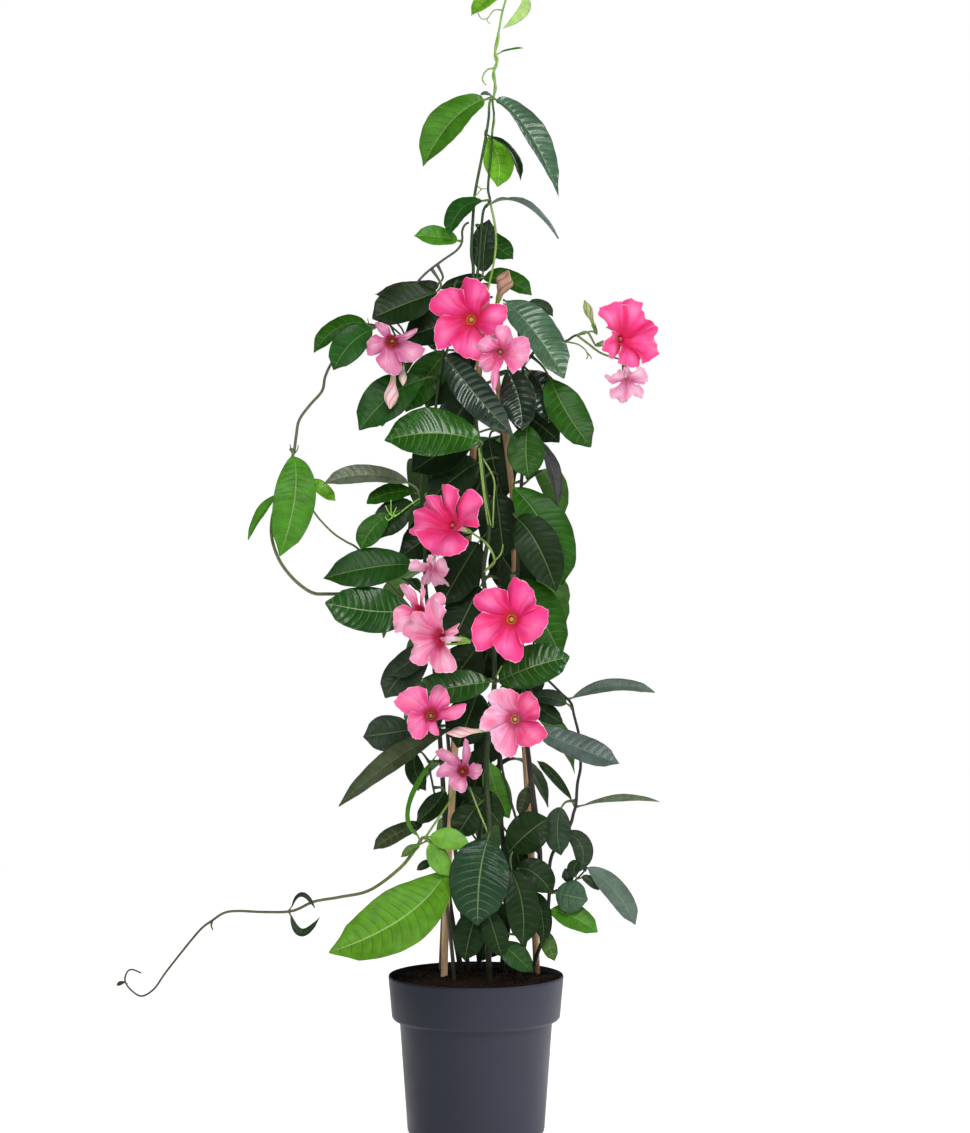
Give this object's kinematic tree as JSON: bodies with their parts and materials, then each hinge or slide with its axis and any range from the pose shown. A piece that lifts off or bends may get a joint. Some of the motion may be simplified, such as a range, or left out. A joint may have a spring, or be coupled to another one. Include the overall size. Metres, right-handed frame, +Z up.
{
  "type": "potted mandevilla",
  "caption": "Climbing mandevilla with pink trumpet blooms and glossy green leaves, twining up wooden canes in a round dark nursery pot.",
  "frame": {"origin": "centre of the pot's foot, on the surface it stands on", "axes": "+Z up, +Y away from the viewer, +X to the viewer's right"},
  "size_m": [0.5798, 0.3093, 1.2377],
  "materials": {
    "pot": "satin moulded polypropylene, dark slate blue-grey",
    "soil": "damp brown-black peat with bark fibres",
    "cane": "bare dry tan wood",
    "tie": "green plastic-coated wire",
    "leaf": "waxy glossy green leaf, paler below; stems green to brown",
    "petal": "velvety hot pink petal",
    "petal_pale": "velvety pale pink petal",
    "bud": "cream and pink furled petal",
    "green_bud": "young green bud",
    "withered": "dry papery brown petal"
  },
  "bodies": {
    "root": {"pot": "pot", "soil": "soil", "cane_front": "cane", "cane_right": "cane", "cane_back": "cane", "cane_tie": "tie", "climber": "leaf", "looping_shoot": "leaf", "left_stem": "leaf", "runner": "leaf", "right_stem": "leaf", "right_shoot": "leaf", "centre_stem": "leaf", "back_stem": "leaf", "bloom_a": "petal", "bloom_b": "petal_pale", "bloom_c": "petal", "bloom_d": "petal", "bloom_d2": "petal_pale", "bloom_e": "petal", "bloom_e2": "petal_pale", "bloom_f1": "petal_pale", "bloom_f2": "petal_pale", "bloom_g": "petal", "bloom_h": "petal", "bloom_i": "petal", "bloom_j": "petal_pale", "bud_b": "bud", "bud_b2": "bud", "bud_i": "bud", "bud_d": "green_bud", "withered_bloom": "withered"}
  },
  "joints": []
}
